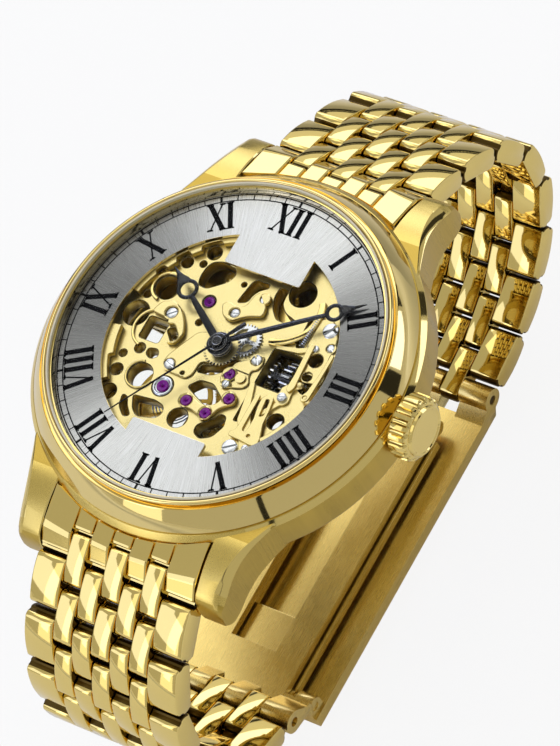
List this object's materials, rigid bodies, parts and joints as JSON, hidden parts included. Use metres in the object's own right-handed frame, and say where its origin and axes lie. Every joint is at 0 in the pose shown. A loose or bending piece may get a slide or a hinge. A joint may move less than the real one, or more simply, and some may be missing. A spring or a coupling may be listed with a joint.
{
  "type": "skeleton wristwatch",
  "caption": "Skeleton wristwatch with open-worked dial, automatic movement, fluted crown and a brick-link bracelet closed by a folding clasp.",
  "frame": {"origin": "on the clasp's flat outer face, straight below the dial's centre", "axes": "+Z out of the dial, +Y towards 12 o'clock, +X towards the crown at 3 o'clock"},
  "size_m": [0.0436, 0.0739, 0.0412],
  "materials": {
    "gold_case": "brushed and polished gold PVD",
    "gold_bracelet": "polished gold PVD",
    "crystal": "clear",
    "dial": "radial brushed silver",
    "hands": "black lacquer",
    "plates": "gilt, fine grained",
    "wheels": "gilt brass",
    "steel": "polished steel",
    "jewels": "ruby",
    "seals": "matt black",
    "spring": "blued"
  },
  "bodies": {
    "watch_head": {"mid_case": "gold_case", "bezel": "gold_case", "crystal": "crystal", "seals": "seals", "dial_flange": "dial", "dial": "dial", "movement_ring": "steel", "case_back": "gold_case", "case_back_crystal": "crystal", "crown_tube": "steel", "end_links": "gold_bracelet", "lug_spring_bars": "steel", "main_plate": "plates", "barrel_bridge": "plates", "train_bridge": "plates", "balance_cock": "plates", "plate_jewels": "jewels", "movement_screws": "steel", "keyless_springs": "steel", "hairspring": "spring"},
    "crown_slide": {"crown_gasket": "seals"},
    "crown": {"crown": "gold_case", "winding_stem": "steel"},
    "sliding_pinion": {"sliding_pinion": "steel"},
    "winding_pinion": {"winding_pinion": "steel"},
    "setting_lever": {"setting_lever": "steel"},
    "crown_wheel": {"crown_wheel": "steel"},
    "ratchet_wheel": {"ratchet_wheel": "steel"},
    "minute": {"minute_hand": "hands", "cannon_pinion": "steel", "center_wheel": "wheels"},
    "hour": {"hour_hand": "hands", "hour_wheel": "wheels"},
    "seconds": {"seconds_hand": "hands"},
    "minute_wheel": {"minute_wheel": "wheels"},
    "third_wheel": {"third_wheel": "wheels"},
    "fourth_wheel": {"fourth_wheel": "wheels"},
    "escape_wheel": {"escape_wheel": "steel"},
    "barrel": {"barrel": "wheels", "mainspring": "spring"},
    "pallet_fork": {"pallet_fork": "steel"},
    "balance_wheel": {"balance_wheel": "wheels"},
    "rotor": {"rotor": "wheels"},
    "upper_link_1": {"upper_link_1": "gold_bracelet"},
    "upper_link_2": {"upper_link_2": "gold_bracelet"},
    "upper_link_3": {"upper_link_3": "gold_bracelet"},
    "upper_link_4": {"upper_link_4": "gold_bracelet"},
    "upper_link_5": {"upper_link_5": "gold_bracelet"},
    "upper_link_6": {"upper_link_6": "gold_bracelet"},
    "upper_link_7": {"upper_link_7": "gold_bracelet"},
    "upper_link_8": {"upper_link_8": "gold_bracelet"},
    "clasp_cover": {"clasp_cover": "gold_bracelet"},
    "clasp_blade_outer": {"clasp_blade_outer": "gold_bracelet"},
    "clasp_blade_inner": {"clasp_blade_inner": "gold_bracelet"},
    "lower_link_1": {"lower_link_1": "gold_bracelet"},
    "lower_link_2": {"lower_link_2": "gold_bracelet"},
    "lower_link_3": {"lower_link_3": "gold_bracelet"},
    "lower_link_4": {"lower_link_4": "gold_bracelet"},
    "lower_link_5": {"lower_link_5": "gold_bracelet"},
    "lower_link_6": {"lower_link_6": "gold_bracelet"}
  },
  "joints": [
    {"name": "crown_pull", "type": "slide", "parent": "watch_head", "child": "crown_slide", "axis": [1, 0, 0], "range_m": [0, 0.0008]},
    {"name": "crown_turn", "type": "hinge", "parent": "crown_slide", "child": "crown", "pos_m": [0.0206, 0, 0.03632], "axis": [1, 0, 0], "continuous": true},
    {"name": "winding_pinion_turn", "type": "hinge", "parent": "watch_head", "child": "winding_pinion", "pos_m": [0.0075, 0, 0.03632], "axis": [1, 0, 0], "continuous": true},
    {"name": "sliding_pinion_slide", "type": "slide", "parent": "watch_head", "child": "sliding_pinion", "axis": [-1, 0, 0], "range_m": [0, 0.0004]},
    {"name": "setting_lever_turn", "type": "hinge", "parent": "watch_head", "child": "setting_lever", "pos_m": [0.0086, -0.0026, 0.03823], "axis": [0, 0, -1], "range_deg": [0, 24.4]},
    {"name": "crown_wheel_turn", "type": "hinge", "parent": "watch_head", "child": "crown_wheel", "pos_m": [0.005, 0, 0.03368], "axis": [0, 0, 1], "continuous": true},
    {"name": "ratchet_wheel_turn", "type": "hinge", "parent": "watch_head", "child": "ratchet_wheel", "pos_m": [-0.00048, 0.00544, 0.03368], "axis": [0, 0, -1], "continuous": true},
    {"name": "minute_turn", "type": "hinge", "parent": "watch_head", "child": "minute", "pos_m": [0, 0, 0.03938], "axis": [0, 0, -1], "continuous": true},
    {"name": "hour_turn", "type": "hinge", "parent": "watch_head", "child": "hour", "pos_m": [0, 0, 0.03938], "axis": [0, 0, -1], "continuous": true},
    {"name": "seconds_turn", "type": "hinge", "parent": "watch_head", "child": "seconds", "pos_m": [0, 0, 0.03938], "axis": [0, 0, -1], "continuous": true},
    {"name": "minute_wheel_turn", "type": "hinge", "parent": "watch_head", "child": "minute_wheel", "pos_m": [0.0016, 0.00165, 0.03828], "axis": [0, 0, -1], "continuous": true},
    {"name": "third_wheel_turn", "type": "hinge", "parent": "watch_head", "child": "third_wheel", "pos_m": [0.002, -0.0021, 0.03488], "axis": [0, 0, -1], "continuous": true},
    {"name": "fourth_wheel_turn", "type": "hinge", "parent": "watch_head", "child": "fourth_wheel", "pos_m": [0.00351, -0.00458, 0.03558], "axis": [0, 0, -1], "continuous": true},
    {"name": "escape_wheel_turn", "type": "hinge", "parent": "watch_head", "child": "escape_wheel", "pos_m": [0.00199, -0.00681, 0.03618], "axis": [0, 0, -1], "continuous": true},
    {"name": "barrel_turn", "type": "hinge", "parent": "watch_head", "child": "barrel", "pos_m": [-0.00048, 0.00544, 0.03618], "axis": [0, 0, -1], "continuous": true},
    {"name": "pallet_swing", "type": "hinge", "parent": "watch_head", "child": "pallet_fork", "pos_m": [-0.00061, -0.00626, 0.03618], "axis": [0, 0, 1], "range_deg": [-5, 5]},
    {"name": "balance_swing", "type": "hinge", "parent": "watch_head", "child": "balance_wheel", "pos_m": [-0.004, -0.0056, 0.03498], "axis": [0, 0, 1], "range_deg": [-270, 270], "stiffness_Nm_per_rad": 0.00000036},
    {"name": "rotor_spin", "type": "hinge", "parent": "watch_head", "child": "rotor", "pos_m": [0, 0, 0.03288], "axis": [0, 0, 1], "continuous": true},
    {"name": "upper_hinge_1", "type": "hinge", "parent": "watch_head", "child": "upper_link_1", "pos_m": [0, 0.0248, 0.03268], "axis": [1, 0, 0], "range_deg": [0, 30]},
    {"name": "upper_hinge_2", "type": "hinge", "parent": "upper_link_1", "child": "upper_link_2", "pos_m": [0, 0.03, 0.02968], "axis": [1, 0, 0], "range_deg": [0, 10]},
    {"name": "upper_hinge_3", "type": "hinge", "parent": "upper_link_2", "child": "upper_link_3", "pos_m": [0, 0.03459, 0.02582], "axis": [1, 0, 0], "range_deg": [0, 24]},
    {"name": "upper_hinge_4", "type": "hinge", "parent": "upper_link_3", "child": "upper_link_4", "pos_m": [0, 0.03722, 0.02043], "axis": [1, 0, 0], "range_deg": [0, 28]},
    {"name": "upper_hinge_5", "type": "hinge", "parent": "upper_link_4", "child": "upper_link_5", "pos_m": [0, 0.03701, 0.01444], "axis": [1, 0, 0], "range_deg": [0, 28]},
    {"name": "upper_hinge_6", "type": "hinge", "parent": "upper_link_5", "child": "upper_link_6", "pos_m": [0, 0.03401, 0.00924], "axis": [1, 0, 0], "range_deg": [0, 20]},
    {"name": "upper_hinge_7", "type": "hinge", "parent": "upper_link_6", "child": "upper_link_7", "pos_m": [0, 0.02942, 0.00538], "axis": [1, 0, 0], "range_deg": [0, 18]},
    {"name": "upper_hinge_8", "type": "hinge", "parent": "upper_link_7", "child": "upper_link_8", "pos_m": [0, 0.02385, 0.00314], "axis": [1, 0, 0], "range_deg": [0, 14]},
    {"name": "cover_hinge", "type": "hinge", "parent": "upper_link_8", "child": "clasp_cover", "pos_m": [0, 0.01791, 0.0023], "axis": [1, 0, 0], "range_deg": [0, 8]},
    {"name": "outer_blade_hinge", "type": "hinge", "parent": "clasp_cover", "child": "clasp_blade_outer", "pos_m": [0, -0.0198, 0.0026], "axis": [1, 0, 0], "range_deg": [0, 45]},
    {"name": "inner_blade_hinge", "type": "hinge", "parent": "clasp_blade_outer", "child": "clasp_blade_inner", "pos_m": [0, 0.0125, 0.0034], "axis": [-1, 0, 0], "range_deg": [0, 40]},
    {"name": "lower_hinge_1", "type": "hinge", "parent": "watch_head", "child": "lower_link_1", "pos_m": [0, -0.0248, 0.03268], "axis": [-1, 0, 0], "range_deg": [0, 38]},
    {"name": "lower_hinge_2", "type": "hinge", "parent": "lower_link_1", "child": "lower_link_2", "pos_m": [0, -0.02953, 0.02899], "axis": [-1, 0, 0], "range_deg": [0, 20]},
    {"name": "lower_hinge_3", "type": "hinge", "parent": "lower_link_2", "child": "lower_link_3", "pos_m": [0, -0.03271, 0.0239], "axis": [-1, 0, 0], "range_deg": [0, 22]},
    {"name": "lower_hinge_4", "type": "hinge", "parent": "lower_link_3", "child": "lower_link_4", "pos_m": [0, -0.03375, 0.01799], "axis": [-1, 0, 0], "range_deg": [0, 24]},
    {"name": "lower_hinge_5", "type": "hinge", "parent": "lower_link_4", "child": "lower_link_5", "pos_m": [0, -0.0323, 0.01217], "axis": [-1, 0, 0], "range_deg": [0, 26]},
    {"name": "lower_hinge_6", "type": "hinge", "parent": "lower_link_5", "child": "lower_link_6", "pos_m": [0, -0.02844, 0.00757], "axis": [-1, 0, 0], "range_deg": [0, 28]}
  ],
  "couplings": [
    {"joint": "winding_pinion_turn", "follows": "crown_turn", "ratio": 1},
    {"joint": "sliding_pinion_slide", "follows": "crown_pull", "ratio": 0.5},
    {"joint": "setting_lever_turn", "follows": "crown_pull", "rad_per_m": 531.79},
    {"joint": "crown_wheel_turn", "follows": "crown_turn", "ratio": 0.65385},
    {"joint": "ratchet_wheel_turn", "follows": "crown_turn", "ratio": 0.49039},
    {"joint": "hour_turn", "follows": "minute_turn", "ratio": 0.083333},
    {"joint": "seconds_turn", "follows": "minute_turn", "ratio": 60},
    {"joint": "minute_wheel_turn", "follows": "minute_turn", "ratio": -0.33333},
    {"joint": "third_wheel_turn", "follows": "minute_turn", "ratio": -8},
    {"joint": "fourth_wheel_turn", "follows": "minute_turn", "ratio": 60},
    {"joint": "escape_wheel_turn", "follows": "minute_turn", "ratio": -720},
    {"joint": "barrel_turn", "follows": "minute_turn", "ratio": -0.16667}
  ]
}
